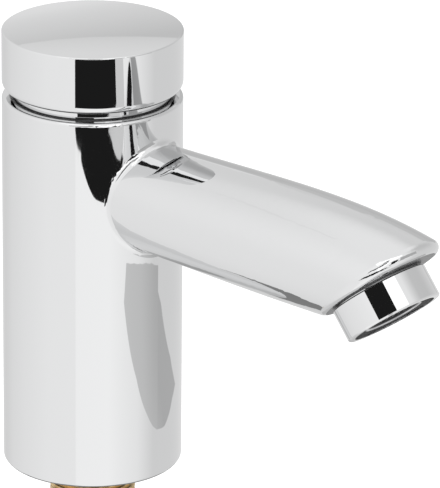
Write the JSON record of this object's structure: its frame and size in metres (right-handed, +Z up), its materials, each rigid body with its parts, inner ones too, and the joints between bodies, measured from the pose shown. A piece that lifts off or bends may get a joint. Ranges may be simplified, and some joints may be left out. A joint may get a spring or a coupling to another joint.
{
  "type": "push timed basin tap",
  "caption": "Deck-mounted self-closing tap: round upright body, push cap on top, fixed spout with threaded aerator, timing cartridge with piston and spring, threaded shank with backnut",
  "frame": {"origin": "on the tap's upright axis, in the plane of the deck that the base ring rests on", "axes": "+Z up along the body's axis, +X along the spout, +Y to the left seen from behind the tap"},
  "size_m": [0.1459, 0.05, 0.1785],
  "materials": {
    "chrome": "polished chrome on brass",
    "brass": "turned brass",
    "steel": "stainless steel",
    "rubber": "black nitrile rubber",
    "plastic": "white acetal",
    "dark_plastic": "dark grey acetal"
  },
  "bodies": {
    "tap_body": {"aerator_grid": "steel", "aerator_housing": "chrome", "aerator_insert": "dark_plastic", "aerator_seal": "rubber", "aerator_strainer": "plastic", "backnut": "brass", "base_seal": "rubber", "body_casting": "chrome", "bush_circlip": "steel", "cartridge_sleeve": "plastic", "clamp_plate": "steel", "clamp_rubber": "rubber", "collar_ring": "rubber", "flow_regulator": "rubber", "guide_bush": "plastic", "guide_ring": "plastic", "head_nut": "chrome", "head_ring": "rubber", "inlet_filter": "plastic", "metering_pin": "steel", "return_spring": "steel", "seat_ring": "rubber", "shank": "brass", "shank_seal": "rubber", "spigot_ring": "rubber", "spindle_ring": "rubber", "valve_seat": "brass"},
    "push_button": {"push_cap": "chrome", "cap_lock_nut": "steel", "spindle": "steel", "piston": "plastic", "piston_cup": "rubber", "piston_clips": "steel", "valve_washer": "rubber", "valve_holder": "brass", "valve_nut": "brass"}
  },
  "joints": [
    {"name": "cap_press", "type": "slide", "parent": "tap_body", "child": "push_button", "axis": [0, 0, -1], "range_m": [0, 0.002], "stiffness_N_per_m": 1800, "springref_m": -0.008, "deforming": ["return_spring"]}
  ]
}
